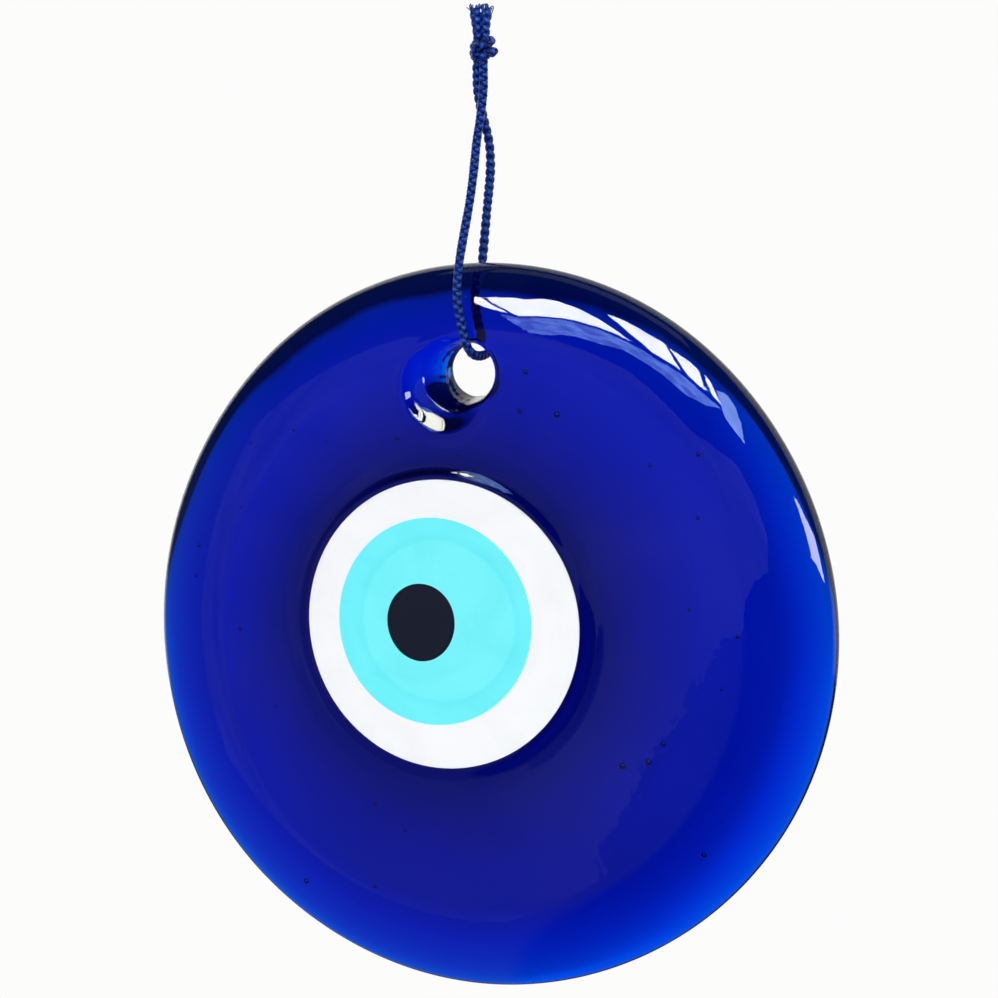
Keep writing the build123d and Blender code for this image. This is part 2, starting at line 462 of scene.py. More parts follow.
def hex_points(spacing, keep):
    """A triangular grid of points over the disc, kept where keep(x, z) is true."""
    pts = []
    rows = int(150 / (spacing * 0.866))
    for i in range(-rows // 2, rows // 2 + 1):
        z = DISC_Z + i * spacing * 0.866
        xs = DISC_X + (np.arange(-int(80 / spacing), int(80 / spacing) + 1) + 0.5 * (i % 2)) * spacing
        zs = np.full_like(xs, z)
        ok = keep(xs, zs)
        pts.append(np.stack([xs[ok], zs[ok]], 1))
    return np.concatenate(pts)


def triangulate(loops, free):
    """Triangles over the area inside the first loop and outside the others."""
    pts, edges = [], []
    n = 0
    for loop in loops:
        m = len(loop)
        pts += [Vector(p) for p in loop]
        edges += [(n + i, n + (i + 1) % m) for i in range(m)]
        n += m
    pts += [Vector(p) for p in free]
    out_pts, _, tris, orig, _, _ = delaunay_2d_cdt(pts, edges, [], 0, 1e-7)
    co = np.array([tuple(p) for p in out_pts])
    tri = np.array(tris)
    mid = co[tri].mean(1)

    def inside(poly, p):
        poly = np.asarray(poly)
        x, y = p[:, 0], p[:, 1]
        hit = np.zeros(len(p), bool)
        x1, y1 = poly[:, 0], poly[:, 1]
        x2, y2 = np.roll(x1, -1), np.roll(y1, -1)
        for a, b, c, d in zip(x1, y1, x2, y2):
            cross = ((b > y) != (d > y))
            if abs(d - b) > 1e-12:
                hit ^= cross & (x < (c - a) * (y - b) / (d - b) + a)
        return hit

    ok = inside(loops[0], mid)
    for loop in loops[1:]:
        ok &= ~inside(loop, mid)
    return co, tri[ok], orig


def flare_width(theta):
    """How far the hole opens out at the front; wider towards the dimple."""
    return FRONT_LIP + 1.9 * np.clip(np.cos(theta - math.radians(188)), 0, 1)


def outside_hole(x, z, gap):
    theta = np.arctan2(z - HOLE_Z, x - HOLE_X)
    return np.hypot(x - HOLE_X, z - HOLE_Z) > HOLE_R + flare_width(theta) + gap


def glass_mesh():
    b = Builder()
    step = 1.0
    # ---- front face, down to the shoulder
    phi = np.arange(N_RIM) * 2 * np.pi / N_RIM
    ox, oz = disc_point(FACE_R, phi)
    ht = np.arange(N_HOLE) * 2 * np.pi / N_HOLE
    flare = flare_width(ht)
    hx, hz = HOLE_X + (HOLE_R + flare) * np.cos(ht), HOLE_Z + (HOLE_R + flare) * np.sin(ht)
    wx, wz = edge_ring(WHITE, white_edge, N_DROP, 0.07)
    loops = [list(zip(ox, oz)), list(zip(hx, hz)), list(zip(wx, wz))]

    def keep(x, z):
        rd = np.hypot(x - DIMPLE_X, z - DIMPLE_Z)
        return (
            (to_nominal(x, z) < FACE_R - 0.6 * step)
            & outside_hole(x, z, 0.35)
            & (rd > 12.6)
            & (np.hypot(x - WHITE[0], z - WHITE[1]) > WHITE[2] + 7.0)
        )

    free = [hex_points(step, keep)]
    # finer rings round the white drop and over the dimple
    for extra in (0.30, 0.7, 1.15, 1.65, 2.2, 2.8, 3.45, 4.15, 4.9, 5.7, 6.5):
        x, z, _ = ring_xz(WHITE[0], WHITE[1], WHITE[2] + extra, int(N_DROP * 0.8), 0.003 * extra)
        free.append(np.stack([x, z], 1))
    fine = 0.42
    gx, gz = np.meshgrid(np.arange(-12.6, 12.6, fine), np.arange(-12.6, 12.6, fine * 0.866))
    gx = gx + (np.arange(gx.shape[0])[:, None] % 2) * fine / 2
    gx, gz = gx.ravel() + DIMPLE_X, gz.ravel() + DIMPLE_Z
    ok = (np.hypot(gx - DIMPLE_X, gz - DIMPLE_Z) < 12.4) & outside_hole(gx, gz, 0.25)
    ok &= to_nominal(gx, gz) < FACE_R - 0.8
    ok &= np.hypot(gx - WHITE[0], gz - WHITE[1]) > WHITE[2] + 7.0
    free.append(np.stack([gx[ok], gz[ok]], 1))
    co, tri, _ = triangulate(loops, np.concatenate(free))
    y = front_y(co[:, 0], co[:, 1])
    first = b.points(np.stack([co[:, 0], y, co[:, 1]], 1))
    # counter-clockwise in (x, z) seen from +Y means its normal is along +Y; face_outwards turns the faces the right way
    # round later
    b.add((tri + first))
    n0 = len(loops[0]); n1 = len(loops[1]); n2 = len(loops[2])
    outer0, hole0, white0 = first, first + n0, first + n0 + n1

    # ---- shoulder, rim and back edge, as rings
    rings = []
    turn_end = SHOULDER_TURN
    end_r = SHOULDER_R0 + SHOULDER_ARC * math.sin(turn_end)
    end_y = FRONT_Y + SHOULDER_ARC - SHOULDER_ARC * math.cos(turn_end)
    start_a = math.asin((FACE_R - SHOULDER_R0) / SHOULDER_ARC)
    for a in np.linspace(start_a, turn_end, 14)[1:]:
        rings.append(("f", SHOULDER_R0 + SHOULDER_ARC * math.sin(a), 0))
    rim_r = (BACK_Y - end_y) / (1 + math.cos(turn_end))
    cx, cy = end_r - rim_r * math.sin(turn_end), BACK_Y - rim_r
    scale = DISC_R / (cx + rim_r)
    for a in np.linspace(-(math.pi / 2 - turn_end), math.pi / 2, 34)[1:]:
        rings.append(("r", scale * (cx + rim_r * math.cos(a)), cy + rim_r * math.sin(a)))
    rows = []
    for kind, rn, yy in rings:
        x, z = disc_point(np.full(N_RIM, rn), phi)
        if kind == "f":
            yv = front_y(x, z)
        else:
            # the rim keeps the faces' unevenness where it joins them
            share = (yy - end_y) / (BACK_Y - end_y)
            fx, fz = disc_point(np.full(N_RIM, end_r), phi)
            off_f = front_y(fx, fz) - end_y
            bx, bz = disc_point(np.full(N_RIM, scale * cx), phi)
            off_b = back_y(bx, bz) - BACK_Y
            s = smoothstep(share)
            yv = yy + off_f * (1 - s) + off_b * s
            yv = yv + 0.10 * np.sin(3 * phi + 0.5) * np.sin(np.pi * share) + 0.05 * np.sin(8 * phi) * np.sin(np.pi * share)
        rows.append(np.stack([x, yv, z], 1))
    back_face_r = scale * cx
    for rn in np.linspace(back_face_r, 67.0, 5)[1:]:
        x, z = disc_point(np.full(N_RIM, rn), phi)
        rows.append(np.stack([x, back_y(x, z), z], 1))
    first_ring = b.points(np.concatenate(rows))
    quads = grid_quads(len(rows), N_RIM, first_ring)
    j = np.arange(N_RIM)
    k = (j + 1) % N_RIM
    join = np.stack([outer0 + j, outer0 + k, first_ring + k, first_ring + j], -1)
    b.add(quads)
    b.add(join)
    back_outer0 = first_ring + (len(rows) - 1) * N_RIM

    # ---- the hole: front lip, throat and back lip
    hole_rows = []
    edge_y = front_y(hx, hz)
    deep = FRONT_Y + FRONT_LIP_DEPTH + 1.0
    cone = np.clip(np.cos(ht - math.radians(198)), 0, 1) ** 0.8
    # where the cord bears on it, the wall is smooth
    seat = 1 - np.exp(-((np.mod(ht - math.radians(55) + math.pi, 2 * math.pi) - math.pi) / 0.9) ** 2)
    for u in np.linspace(0, 1, 34)[1:]:
        # to the left the wall runs down as a soft cone, elsewhere the lip is well rounded
        r = HOLE_R + flare * (cone * (1 - u) ** 1.12 + (1 - cone) * (1 - math.sin(math.pi / 2 * u)))
        # the fire-polished wall is rippled, more so deep down
        wob = 0.06 * math.sin(math.pi * u) * np.sin(3 * ht + 1.0)
        wob = wob + 0.035 * smoothstep((u - 0.25) / 0.5) * (
            1.5 * np.sin(17 * ht + 5 * u) + np.sin(23 * ht - 9 * u + 1) + 1.5 * np.sin(26 * u + 5 * ht)) * math.sin(math.pi * min(u, 0.999)) ** 0.5
        wob = wob * seat
        x, z = HOLE_X + (r + wob) * np.cos(ht), HOLE_Z + (r + wob) * np.sin(ht)
        down = cone * u ** 1.18 + (1 - cone) * (1 - math.cos(math.pi / 2 * u))
        yv = edge_y + (deep - edge_y) * down
        hole_rows.append(np.stack([x, yv, z], 1))
    top = hole_rows[-1][:, 1]
    base = BACK_Y - BACK_LIP
    for s in np.linspace(0, 1, 9)[1:]:
        wob = 0.08 * np.sin(11 * ht + 4 * s) * np.sin(np.pi * s) + 0.03 * np.sin(19 * ht) * np.sin(np.pi * s)
        wob = wob * seat
        x, z = HOLE_X + (HOLE_R + wob) * np.cos(ht), HOLE_Z + (HOLE_R + wob) * np.sin(ht)
        hole_rows.append(np.stack([x, top * (1 - s) + base * s, z], 1))
    for a in np.linspace(0, math.pi / 2, 9)[1:]:
        r = HOLE_R + BACK_LIP * (1 - math.cos(a))
        x, z = HOLE_X + r * np.cos(ht), HOLE_Z + r * np.sin(ht)
        mix = math.sin(a)
        yv = base * (1 - mix) + back_y(x, z) * mix if a < math.pi / 2 - 1e-6 else back_y(x, z)
        hole_rows.append(np.stack([x, yv, z], 1))
    first_hole = b.points(np.concatenate(hole_rows))
    b.add(grid_quads(len(hole_rows), N_HOLE, first_hole, flip=True))
    j = np.arange(N_HOLE)
    k = (j + 1) % N_HOLE
    b.add(np.stack([hole0 + j, first_hole + j, first_hole + k, hole0 + k], -1))
    back_hole0 = first_hole + (len(hole_rows) - 1) * N_HOLE
    hr = HOLE_R + BACK_LIP

    # ---- back face
    bx, bz = disc_point(np.full(N_RIM, 67.0), phi)
    bhx, bhz = HOLE_X + hr * np.cos(ht), HOLE_Z + hr * np.sin(ht)

    def keep_back(x, z):
        return (to_nominal(x, z) < 67.0 - 0.6 * 1.3) & (np.hypot(x - HOLE_X, z - HOLE_Z) > hr + 0.5)

    co, tri, _ = triangulate([list(zip(bx, bz)), list(zip(bhx, bhz))], hex_points(step * 1.3, keep_back))
    # the boundary points are those of the rings, so the faces share them
    remap = np.empty(len(co), int)
    remap[:N_RIM] = back_outer0 + np.arange(N_RIM)
    remap[N_RIM:N_RIM + N_HOLE] = back_hole0 + np.arange(N_HOLE)
    rest = co[N_RIM + N_HOLE:]
    first_back = b.points(np.stack([rest[:, 0], back_y(rest[:, 0], rest[:, 1]), rest[:, 1]], 1))
    remap[N_RIM + N_HOLE:] = first_back + np.arange(len(rest))
    b.add(remap[tri][:, ::-1])

    # ---- the recess that holds the white drop, just inside the drop's own surface
    t = np.arange(N_DROP) * 2 * np.pi / N_DROP
    rec_rows = []
    for inset, depth in buried_profile(WHITE, shrink=0.09)[1:]:
        r = np.maximum(white_edge(t) - 0.07 - inset, 0.4)
        x, z = WHITE[0] + r * np.cos(t), WHITE[1] + r * np.sin(t)
        fx, fz = edge_ring(WHITE, white_edge, N_DROP, 0.07)
        level = front_y(fx, fz) * (1 - min(inset / 6, 1)) + FRONT_Y * min(inset / 6, 1)
        rec_rows.append(np.stack([x, level + depth, z], 1))
    first_rec = b.points(np.concatenate(rec_rows))
    j = np.arange(N_DROP)
    k = (j + 1) % N_DROP
    b.add(np.stack([white0 + j, first_rec + j, first_rec + k, white0 + k], -1))
    b.add(grid_quads(len(rec_rows), N_DROP, first_rec, flip=True))
    last = first_rec + (len(rec_rows) - 1) * N_DROP
    centre = b.points([[WHITE[0], FRONT_Y + WHITE[3] - 0.12, WHITE[1]]])
    b.add(np.stack([last + j, np.full(N_DROP, centre), last + k], -1))

    b.face_outwards()

    # ---- trapped bubbles, as small cavities whose faces look into the bubble
    rng = np.random.default_rng(11)
    spots = [
        (10.5, -62.2), (8.8, -70.5), (17.3, -70.8), (38.0, -80.3), (47.9, -77.8), (48.4, -90.5),
        (46.2, -109.6), (57.1, -114.3), (40.5, -138.0), (38.1, -141.5), (32.5, -142.7),
        (49.3, -160.2), (52.9, -125.9), (27.3, -118.6), (-51.6, -79.4), (-54.8, -93.4),
        (-64.0, -101.9), (-64.5, -108.3), (-17.5, -76.8), (-4.6, -80.2), (-27.1, -86.2),
        (-41.6, -76.2), (-34.4, -78.3), (-39.7, -173.0), (-24.1, -173.2), (-16.6, -160.3),
        (-22.8, -154.9), (-54.3, -119.3), (-46.9, -135.9),
    ]
    big = {0: 0.62, 1: 0.55, 2: 0.70, 4: 0.5, 8: 0.62, 9: 0.72, 10: 0.75, 11: 0.6, 18: 0.5, 23: 0.62, 7: 0.48}
    ico_v, ico_f = icosphere(2)
    for i, (x, z) in enumerate(spots):
        r = big.get(i, float(rng.uniform(0.30, 0.46)))
        y = float(rng.uniform(-2.6, 2.4))
        squash = np.array([1.0, float(rng.uniform(0.8, 1.0)), float(rng.uniform(0.9, 1.1))])
        first = b.points(ico_v * r * squash + (x, y, z))
        b.add(ico_f[:, ::-1] + first)
    for _ in range(70):                          # seed bubbles, too small to count one by one
        a, rr = float(rng.uniform(0, 2 * np.pi)), float(68 * math.sqrt(rng.uniform(0.02, 1)))
        x, z = DISC_X + rr * math.cos(a), DISC_Z + rr * math.sin(a)
        if math.hypot(x - HOLE_X, z - HOLE_Z) < 12 or math.hypot(x - WHITE[0], z - WHITE[1]) < 33:
            continue
        first = b.points(ico_v * float(rng.uniform(0.07, 0.15)) + (x, float(rng.uniform(-2.4, 2.6)), z))
        b.add(ico_f[:, ::-1] + first)
    return b


def icosphere(level):
    bm = bmesh.new()
    bmesh.ops.create_icosphere(bm, subdivisions=level, radius=1.0)
    bm.verts.ensure_lookup_table()
    v = np.array([tuple(p.co) for p in bm.verts])
    f = np.array([[p.index for p in face.verts] for face in bm.faces])
    bm.free()
    return v, f


def buried_profile(drop, shrink=0.0):
    """(inset from the edge, depth) along a drop's buried surface, from its rim to its middle."""
    _, _, radius, depth = drop
    edge = 0.92 * depth
    spread = 1.25 * edge
    out = []
    for a in np.linspace(0, math.pi / 2, 12):
        out.append((spread * (1 - math.cos(a)), max(edge * math.sin(a) - shrink * math.sin(a), 0)))
    for s in (0.2, 0.45, 0.7, 0.9):
        out.append((spread + (radius - spread) * s, edge + (depth - edge) * s - shrink))
    return out


glass_b = glass_mesh()
glass = make_object("glass_body_cast", glass_b.all_verts(), glass_b.faces, sharp=38)


# =============================================================== the eye drops
def drop_mesh(drop, edge, inner=None, inner_edge=None, rings=26):
    """One pressed drop: its front face, level with the glass, and its buried side. inner is
    the drop set into it, which leaves a recess in this one."""
    b = Builder()
    n = N_DROP
    t = np.arange(n) * 2 * np.pi / n
    ex, ez = edge_ring(drop, edge, n)
    rows = []
    if inner is not None:
        ix, iz = edge_ring(inner, inner_edge, n, 0.05)
    else:
        ix, iz = np.full(n, drop[0]) + 0.02 * np.cos(t), np.full(n, drop[1]) + 0.02 * np.sin(t)
    for s in np.linspace(0, 1, rings):
        x, z = ix * (1 - s) + ex * s, iz * (1 - s) + ez * s
        y = front_y(x, z) - 0.012
        # a meniscus rounds the last tenth of a millimetre at each drop's edge
        rim = np.hypot(x - ex, z - ez)
        y = y + 0.05 * np.clip(1 - rim / 0.35, 0, 1) ** 2
        rows.append(np.stack([x, y, z], 1))
    face = b.points(np.concatenate(rows))
    b.add(grid_quads(rings, n, face, flip=True))
    # buried side, from the rim inwards
    side = []
    level = rows[-1][:, 1]
    for inset, depth in buried_profile(drop)[1:]:
        r = np.maximum(edge(t) - inset, 0.3)
        lv = level * (1 - min(inset / 6, 1)) + FRONT_Y * min(inset / 6, 1)
        side.append(np.stack([drop[0] + r * np.cos(t), lv + depth, drop[1] + r * np.sin(t)], 1))
    s0 = b.points(np.concatenate(side))
    j = np.arange(n)
    k = (j + 1) % n
    rim0 = face + (rings - 1) * n
    b.add(np.stack([rim0 + j, rim0 + k, s0 + k, s0 + j][::-1], -1))
    b.add(grid_quads(len(side), n, s0, flip=True))
    last = s0 + (len(side) - 1) * n
    mid = b.points([[drop[0], FRONT_Y + drop[3], drop[1]]])
    b.add(np.stack([last + k, last + j, np.full(n, mid)][::-1], -1))
    # the recess for the drop set into this one, or the middle of the face
    if inner is None:
        mid = b.points([[drop[0], float(front_y(drop[0], drop[1])) - 0.012, drop[1]]])
        b.add(np.stack([face + k, face + j, np.full(n, mid)], -1))
    else:
        rec = []
        lev = rows[0][:, 1]
        for inset, depth in buried_profile(inner, shrink=0.06)[1:]:
            r = np.maximum(inner_edge(t) - 0.05 - inset, 0.3)
            lv = lev * (1 - min(inset / 6, 1)) + FRONT_Y * min(inset / 6, 1)
            rec.append(np.stack([inner[0] + r * np.cos(t), lv + depth, inner[1] + r * np.sin(t)], 1))
        r0 = b.points(np.concatenate(rec))
        b.add(np.stack([face + j, face + k, r0 + k, r0 + j], -1))
        b.add(grid_quads(len(rec), n, r0))
        last = r0 + (len(rec) - 1) * n
        mid = b.points([[inner[0], FRONT_Y + inner[3] - 0.08, inner[1]]])
        b.add(np.stack([last + j, last + k, np.full(n, mid)], -1))
    b.face_outwards()
    return b


white_b = drop_mesh(WHITE, white_edge, IRIS, iris_edge)
iris_b = drop_mesh(IRIS, iris_edge, PUPIL, pupil_edge)
pupil_b = drop_mesh(PUPIL, pupil_edge)
white = make_object("eye_white", white_b.all_verts(), white_b.faces, sharp=38)
iris = make_object("eye_iris", iris_b.all_verts(), iris_b.faces, sharp=38)
pupil = make_object("eye_pupil", pupil_b.all_verts(), pupil_b.faces, sharp=38)


# =============================================================== materials
def new_material(name):
    mat = bpy.data.materials.new(name)
    mat.use_nodes = True
    nt = mat.node_tree
    nt.nodes.clear()
    out = nt.nodes.new("ShaderNodeOutputMaterial")
    bsdf = nt.nodes.new("ShaderNodeBsdfPrincipled")
    nt.links.new(bsdf.outputs[0], out.inputs["Surface"])
    return mat, nt, bsdf, out


def node(nt, kind, **settings):
    n = nt.nodes.new(kind)
    for key, value in settings.items():
        if key.startswith("in_"):
            n.inputs[key[3:].replace("_", " ")].default_value = value
        else:
            setattr(n, key, value)
    return n


def object_coords(nt, scale=1.0):
    tc = node(nt, "ShaderNodeTexCoord")
    mp = node(nt, "ShaderNodeMapping")
    mp.inputs["Scale"].default_value = (scale, scale, scale)
    nt.links.new(tc.outputs["Object"], mp.inputs["Vector"])
    return mp.outputs["Vector"]


def noise(nt, vec, scale, detail=4.0, rough=0.5, distortion=0.0):
    n = node(nt, "ShaderNodeTexNoise")
    n.inputs["Scale"].default_value = scale
    n.inputs["Detail"].default_value = detail
    n.inputs["Roughness"].default_value = rough
    n.inputs["Distortion"].default_value = distortion
    nt.links.new(vec, n.inputs["Vector"])
    return n.outputs["Fac"]


def ramp(nt, fac, stops):
    r = node(nt, "ShaderNodeValToRGB")
    cr = r.color_ramp
    while len(cr.elements) > 1:
        cr.elements.remove(cr.elements[-1])
    cr.elements[0].position, cr.elements[0].color = stops[0][0], (*stops[0][1], 1)
    for pos, col in stops[1:]:
        e = cr.elements.new(pos)
        e.color = (*col, 1)
    nt.links.new(fac, r.inputs["Fac"])
    return r.outputs["Color"]


def map_range(nt, value, a, b, c, d, smooth=False):
    m = node(nt, "ShaderNodeMapRange")
    if smooth:
        m.interpolation_type = "SMOOTHSTEP"
    m.inputs["From Min"].default_value, m.inputs["From Max"].default_value = a, b
    m.inputs["To Min"].default_value, m.inputs["To Max"].default_value = c, d
    nt.links.new(value, m.inputs["Value"])
    return m.outputs["Result"]


def math_node(nt, op, a, b=None):
    m = node(nt, "ShaderNodeMath", operation=op)
    for i, v in enumerate((a, b)):
        if v is None:
            continue
        if isinstance(v, (int, float)):
            m.inputs[i].default_value = v
        else:
            nt.links.new(v, m.inputs[i])
    return m.outputs[0]


def bump(nt, height, strength, distance, normal=None):
    bn = node(nt, "ShaderNodeBump")
    bn.inputs["Strength"].default_value = strength
    bn.inputs["Distance"].default_value = distance
    nt.links.new(height, bn.inputs["Height"])
    if normal is not None:
        nt.links.new(normal, bn.inputs["Normal"])
    return bn.outputs["Normal"]


# ---- cobalt glass: colour comes from the depth of glass, by absorption
glass_mat, nt, bsdf, out = new_material("cobalt_cast_glass")
bsdf.inputs["Base Color"].default_value = (1, 1, 1, 1)
bsdf.inputs["Transmission Weight"].default_value = 1.0
bsdf.inputs["IOR"].default_value = 1.52
vec = object_coords(nt)
smear = noise(nt, vec, 60, 5, 0.6, 0.6)
bsdf.inputs["Roughness"].default_value = 0.0
nt.links.new(map_range(nt, smear, 0.45, 0.85, 0.0, 0.018), bsdf.inputs["Roughness"])
fire = noise(nt, vec, 34, 2, 0.4)
cord_lines = noise(nt, vec, 150, 3, 0.5, 1.2)
n_a = bump(nt, fire, 0.015, 0.0010)
n_b = bump(nt, cord_lines, 0.04, 0.0002, n_a)
nt.links.new(n_b, bsdf.inputs["Normal"])
absorb = node(nt, "ShaderNodeVolumeAbsorption")
absorb.inputs["Color"].default_value = (0.0, 0.808, 0.970, 1)
absorb.inputs["Density"].default_value = 2500.0
nt.links.new(absorb.outputs[0], out.inputs["Volume"])


def drop_material(name, base, ring=None, striae=0.04, tint=(1, 1, 1)):
    mat, nt, bsdf, out = new_material(name)
    vec = object_coords(nt)
    streak = noise(nt, vec, 55, 5, 0.55, 1.5)
    lo = tuple(c * (1 - striae) * t for c, t in zip(base, tint))
    colour = ramp(nt, streak, [(0.30, lo), (0.62, base)])
    if ring is not None:
        cx, cz, stops = ring
        tc = node(nt, "ShaderNodeTexCoord")
        sub = node(nt, "ShaderNodeVectorMath", operation="SUBTRACT")
        sub.inputs[1].default_value = (cx * MM, 0, cz * MM)
        nt.links.new(tc.outputs["Object"], sub.inputs[0])
        flat = node(nt, "ShaderNodeVectorMath", operation="MULTIPLY")
        flat.inputs[1].default_value = (1, 0, 1)
        nt.links.new(sub.outputs[0], flat.inputs[0])
        length = node(nt, "ShaderNodeVectorMath", operation="LENGTH")
        nt.links.new(flat.outputs[0], length.inputs[0])
        wob = noise(nt, vec, 70, 2)
        dist = math_node(nt, "ADD", length.outputs["Value"], map_range(nt, wob, 0, 1, -0.0006, 0.0006))
        fac = map_range(nt, dist, 0.0, 0.024, 0.0, 1.0)
        rings = ramp(nt, fac, stops)
        mix = node(nt, "ShaderNodeMix", data_type="RGBA", blend_type="MULTIPLY")
        mix.inputs[0].default_value = 1.0
        nt.links.new(colour, mix.inputs[6])
        nt.links.new(rings, mix.inputs[7])
        colour = mix.outputs[2]
    nt.links.new(colour, bsdf.inputs["Base Color"])
    rough = noise(nt, vec, 120, 4, 0.6)
    nt.links.new(map_range(nt, rough, 0.35, 0.8, 0.05, 0.13), bsdf.inputs["Roughness"])
    bsdf.inputs["IOR"].default_value = 1.52
    h = noise(nt, vec, 45, 3, 0.45)
    nt.links.new(bump(nt, h, 0.10, 0.0010), bsdf.inputs["Normal"])
    return mat


white_mat = drop_material("opaque_white_glass", (0.895, 0.88, 0.91), striae=0.035)
iris_mat = drop_material(
    "opaque_light_blue_glass", (0.175, 0.85, 0.925),
    ring=(-7.4, -114.5, [
        (0.0, (1.06, 1.0, 0.99)), (0.69, (1.04, 1.0, 0.995)), (0.722, (0.82, 0.955, 0.985)),
        (0.745, (0.86, 0.965, 0.99)), (0.80, (0.93, 0.99, 1.0)), (1.0, (0.90, 0.985, 1.0)),
    ]), striae=0.05, tint=(0.9, 1, 1),
)
pupil_mat = drop_material("opaque_black_glass", (0.0038, 0.0060, 0.0205), striae=0.25)

# ---- braided polyester
cord_mat, nt, bsdf, out = new_material("blue_polyester_braid")
at_along = node(nt, "ShaderNodeAttribute", attribute_name="along")
at_round = node(nt, "ShaderNodeAttribute", attribute_name="round")
at_carrier = node(nt, "ShaderNodeAttribute", attribute_name="carrier")
comb = node(nt, "ShaderNodeCombineXYZ")
nt.links.new(math_node(nt, "MULTIPLY", at_along.outputs["Fac"], 0.55), comb.inputs["X"])
nt.links.new(math_node(nt, "MULTIPLY", at_round.outputs["Fac"], 26.0), comb.inputs["Y"])
nt.links.new(math_node(nt, "MULTIPLY", at_carrier.outputs["Fac"], 37.0), comb.inputs["Z"])
fibres = noise(nt, comb.outputs[0], 1.0, 4, 0.65)
vec = object_coords(nt)
patch = noise(nt, vec, 260, 3, 0.5)
fib_col = ramp(nt, fibres, [(0.28, (0.001, 0.008, 0.082)), (0.52, (0.002, 0.017, 0.185)), (0.78, (0.009, 0.056, 0.38))])
tone = ramp(nt, patch, [(0.3, (0.82, 0.84, 0.88)), (0.7, (1.08, 1.08, 1.06))])
mixc = node(nt, "ShaderNodeMix", data_type="RGBA", blend_type="MULTIPLY")
mixc.inputs[0].default_value = 1.0
nt.links.new(fib_col, mixc.inputs[6])
nt.links.new(tone, mixc.inputs[7])
# painted light on the yarns: by the mask, the colour is raised to a whitish painted highlight on each yarn's crest and
# lowered to painted shade on the yarn sides and in the gaps between yarns
at_painted_light_mask = node(nt, "ShaderNodeAttribute", attribute_name="painted_light_mask")
painted_glint_and_gap_shade = ramp(nt, at_painted_light_mask.outputs["Fac"], [
    (0.0, (0.12, 0.15, 0.26)), (0.35, (0.34, 0.38, 0.48)), (0.66, (0.85, 0.92, 1.0)),
    (0.84, (2.2, 1.9, 1.5)), (1.0, (11.0, 5.6, 2.7)),
])
mixl = node(nt, "ShaderNodeMix", data_type="RGBA", blend_type="MULTIPLY")
mixl.inputs[0].default_value = 1.0
nt.links.new(mixc.outputs[2], mixl.inputs[6])
nt.links.new(painted_glint_and_gap_shade, mixl.inputs[7])
nt.links.new(mixl.outputs[2], bsdf.inputs["Base Color"])
nt.links.new(map_range(nt, fibres, 0.3, 0.75, 0.36, 0.20), bsdf.inputs["Roughness"])
bsdf.inputs["Specular IOR Level"].default_value = 0.48
bsdf.inputs["Specular Tint"].default_value = (0.42, 0.62, 1.0, 1)
bsdf.inputs["Sheen Weight"].default_value = 0.03
bsdf.inputs["Sheen Roughness"].default_value = 0.35
bsdf.inputs["Sheen Tint"].default_value = (0.55, 0.65, 1.0, 1)
nt.links.new(bump(nt, fibres, 0.30, 0.00006), bsdf.inputs["Normal"])

fray_mat, nt, bsdf, out = new_material("blue_polyester_yarn")
at_carrier = node(nt, "ShaderNodeAttribute", attribute_name="carrier")
vec = object_coords(nt)
strand = noise(nt, vec, 2200, 3, 0.6)
mixf = math_node(nt, "ADD", math_node(nt, "MULTIPLY", at_carrier.outputs["Fac"], 0.4), math_node(nt, "MULTIPLY", strand, 0.6))
nt.links.new(ramp(nt, mixf, [(0.2, (0.002, 0.013, 0.12)), (0.75, (0.012, 0.060, 0.40))]), bsdf.inputs["Base Color"])
nt.links.new(map_range(nt, strand, 0.3, 0.7, 0.5, 0.3), bsdf.inputs["Roughness"])
nt.links.new(bump(nt, strand, 0.4, 0.00005), bsdf.inputs["Normal"])

for ob, mat in ((glass, glass_mat), (white, white_mat), (iris, iris_mat), (pupil, pupil_mat), (cord, cord_mat), (fray, fray_mat)):
    ob.data.materials.clear()
    ob.data.materials.append(mat)


# =============================================================== riding and standing in
for ob, node_name, slot in (
    (glass, "glass_body", "cobalt_glass"), (white, "eye_white_drop", "white_glass"),
    (iris, "eye_iris_drop", "light_blue_glass"), (pupil, "eye_pupil_drop", "black_glass"),
):
    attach(ob, "glass_disc")
    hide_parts(node_name)
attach(cord, "hanging_cord")
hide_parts("cord_loop", "cord_knot", "cord_tail_a", "cord_tail_b")
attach(fray, "hanging_cord")


# =============================================================== studio
def area(name, pos, look_at, size_x, size_y, radiance, colour=(1, 1, 1)):
    data = bpy.data.lights.new(name, "AREA")
    data.shape = "RECTANGLE"
    data.size, data.size_y = size_x, size_y
    data.energy = radiance * math.pi * size_x * size_y
    data.color = colour
    ob = bpy.data.objects.new(name, data)
    scene.collection.objects.link(ob)
    pos, look_at = Vector(pos), Vector(look_at)
    ob.matrix_world = Matrix.Translation(pos) @ (pos - look_at).to_track_quat("Z", "Y").to_matrix().to_4x4()
    ob.visible_camera = False
    return ob


def direction(az, el):
    a, e = math.radians(az), math.radians(el)
    return Vector((math.sin(a) * math.cos(e), -math.cos(a) * math.cos(e), math.sin(e)))


AIM = Vector((0.002, 0.0, -0.100))


def panel(name, az, el, dist, width_deg, height_deg, radiance, colour=(1, 1, 1)):
    w = 2 * dist * math.tan(math.radians(width_deg / 2))
    h = 2 * dist * math.tan(math.radians(height_deg / 2))
    return area(name, AIM + direction(az, el) * dist, AIM, w, h, radiance, colour)


# a narrow window to the right, and soft light from above
panel("right_window", 49.0, 9.0, 2.0, 34.0, 10.5, 11.0)
panel("top_soft", -10.0, 66.0, 1.8, 50.0, 30.0, 0.35)
# fill for the opaque glass and the cord, kept out of the glass's reflections
fill = panel("front_fill", -10.0, 12.0, 1.5, 60.0, 50.0, 0.52)
fill.visible_glossy = fill.visible_transmission = False


